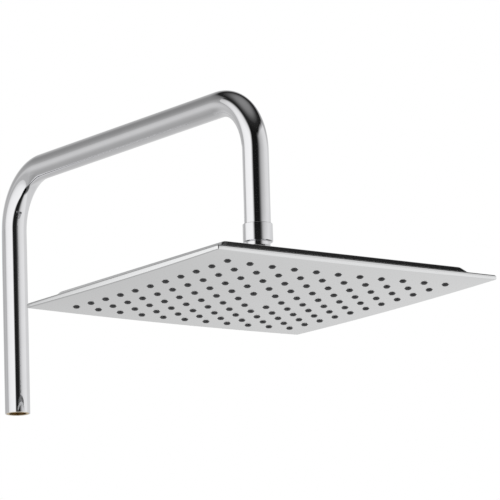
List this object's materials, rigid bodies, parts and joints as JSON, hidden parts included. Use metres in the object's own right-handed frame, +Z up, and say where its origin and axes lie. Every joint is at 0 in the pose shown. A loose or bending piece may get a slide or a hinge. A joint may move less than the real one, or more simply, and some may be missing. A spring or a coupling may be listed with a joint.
{
  "type": "overhead shower arm and head",
  "caption": "Bent chrome riser and arm tube with a swivelling ball joint and a thin square overhead shower head with rubber nozzles.",
  "frame": {"origin": "on the riser's axis at its lower end, in the mouth of the brass socket", "axes": "+Z up along the riser, -Y out from the wall towards the shower head, X to the side"},
  "size_m": [0.3, 0.562, 0.243],
  "materials": {
    "chrome_tube": "polished chrome on brass tube",
    "chrome_brass": "polished chrome on turned brass",
    "brass": "turned brass",
    "steel": "turned stainless steel",
    "face_steel": "polished stainless sheet, slightly satin",
    "pan_steel": "polished stainless sheet",
    "grey_rubber": "moulded silicone",
    "black_rubber": "moulded rubber",
    "white_plastic": "moulded acetal"
  },
  "bodies": {
    "column": {"riser_pipe": "chrome_tube", "riser_socket": "brass", "lock_screw": "steel", "arm_nipple": "brass", "inlet_washer": "black_rubber", "filter_screen": "steel", "flow_regulator": "white_plastic", "ball_stem": "chrome_brass"},
    "lower_ball_ring": {"lower_seat": "white_plastic"},
    "upper_ball_ring": {"upper_seat": "white_plastic"},
    "shower_head": {"ball_seal": "black_rubber", "inlet_boss": "chrome_brass", "retaining_cap": "chrome_brass", "boss_gasket": "black_rubber", "boss_lock_nut": "brass", "face_plate": "face_steel", "nozzle_mat": "grey_rubber", "rim_gasket": "black_rubber", "back_pan": "pan_steel", "centre_stud": "steel", "support_studs": "steel", "cover_screws": "steel", "screw_washers": "black_rubber"}
  },
  "joints": [
    {"name": "head_tilt_fore_aft", "type": "hinge", "parent": "column", "child": "lower_ball_ring", "pos_m": [0, -0.4, 0.076], "axis": [1, 0, 0], "range_deg": [-15, 15]},
    {"name": "head_tilt_sideways", "type": "hinge", "parent": "lower_ball_ring", "child": "upper_ball_ring", "pos_m": [0, -0.4, 0.076], "axis": [0, 1, 0], "range_deg": [-15, 15]},
    {"name": "head_turn", "type": "hinge", "parent": "upper_ball_ring", "child": "shower_head", "pos_m": [0, -0.4, 0.076], "axis": [0, 0, 1], "continuous": true}
  ]
}
